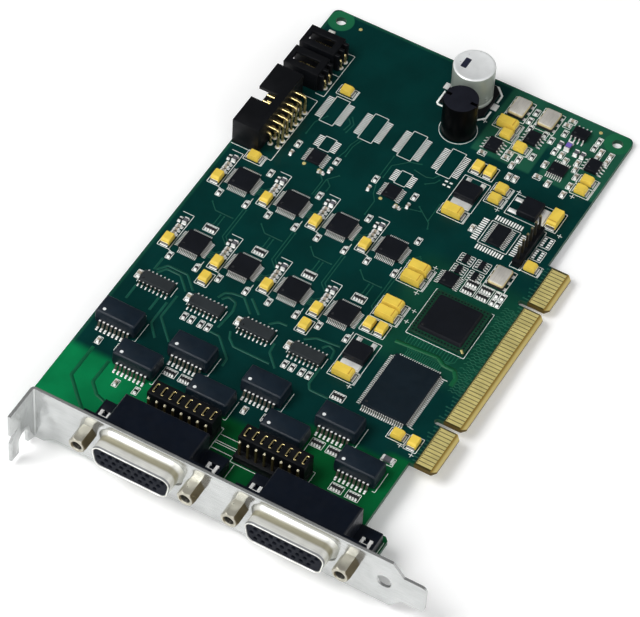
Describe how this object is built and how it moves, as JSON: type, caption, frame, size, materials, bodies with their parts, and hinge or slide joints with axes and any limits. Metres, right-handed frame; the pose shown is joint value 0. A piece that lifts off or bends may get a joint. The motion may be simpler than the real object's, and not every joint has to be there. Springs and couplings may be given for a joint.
{
  "type": "expansion-slot sound card",
  "caption": "Populated circuit board with a keyed gold edge tongue, folded slot bracket and D-sub sockets that adds digital audio inputs and outputs to a computer.",
  "frame": {"origin": "on the component face of the board, at its lower edge, on the centre line of the key slot nearest the bracket", "axes": "+X from the bracket to the far end, +Y to the card's top edge, +Z out of the component face"},
  "size_m": [0.1854, 0.1249, 0.0213],
  "materials": {
    "solder_mask": "satin green solder mask over glass-epoxy laminate",
    "gold_plate": "gold plating, polished",
    "nickel_steel": "bright nickel plating",
    "tin_plate": "bright tin plating",
    "connector_plastic": "moulded, satin",
    "can_aluminium": "drawn can, satin",
    "choke_sleeve": "shrunk sleeve, satin",
    "transformer_epoxy": "moulded epoxy, satin",
    "chip_epoxy": "moulded epoxy, fine matt",
    "tantalum_resin": "moulded resin, satin",
    "passive_ceramic": "fired ceramic"
  },
  "bodies": {
    "root": {"box_header_pins": "gold_plate", "box_header_shroud": "connector_plastic", "bracket": "nickel_steel", "capacitor_base": "connector_plastic", "capacitor_can": "can_aluminium", "capacitor_terminals": "tin_plate", "chip_passives": "passive_ceramic", "choke": "choke_sleeve", "circuit_board": "solder_mask", "driver_chips": "chip_epoxy", "dsub_a_board_locks": "tin_plate", "dsub_a_contacts": "gold_plate", "dsub_a_housing": "connector_plastic", "dsub_a_insert": "connector_plastic", "dsub_a_shell": "tin_plate", "dsub_b_board_locks": "tin_plate", "dsub_b_contacts": "gold_plate", "dsub_b_housing": "connector_plastic", "dsub_b_insert": "connector_plastic", "dsub_b_shell": "tin_plate", "edge_contacts_component_side": "gold_plate", "edge_contacts_solder_side": "gold_plate", "jackscrews": "nickel_steel", "jumper_block_a": "connector_plastic", "jumper_block_b": "connector_plastic", "jumper_header_a_base": "connector_plastic", "jumper_header_a_pins": "gold_plate", "jumper_header_b_base": "connector_plastic", "jumper_header_b_pins": "gold_plate", "jumper_links_a": "gold_plate", "jumper_links_b": "gold_plate", "locking_header_a": "connector_plastic", "locking_header_b": "connector_plastic", "locking_header_pins": "gold_plate", "logic_chip": "chip_epoxy", "memory_chip": "chip_epoxy", "oscillators": "tin_plate", "receiver_chip_1": "chip_epoxy", "receiver_chip_2": "chip_epoxy", "receiver_chip_3": "chip_epoxy", "receiver_chip_4": "chip_epoxy", "receiver_chip_5": "chip_epoxy", "receiver_chip_6": "chip_epoxy", "receiver_chip_7": "chip_epoxy", "receiver_chip_8": "chip_epoxy", "regulator_bodies": "chip_epoxy", "regulator_tabs": "tin_plate", "service_header_base": "connector_plastic", "service_header_pins": "gold_plate", "small_chips": "chip_epoxy", "tantalum_capacitors_large": "tantalum_resin", "tantalum_capacitors_small": "tantalum_resin", "transformer_1": "transformer_epoxy", "transformer_2": "transformer_epoxy", "transformer_3": "transformer_epoxy", "transformer_4": "transformer_epoxy", "transformer_5": "transformer_epoxy", "transformer_6": "transformer_epoxy", "transformer_7": "transformer_epoxy", "transformer_8": "transformer_epoxy"}
  },
  "joints": []
}
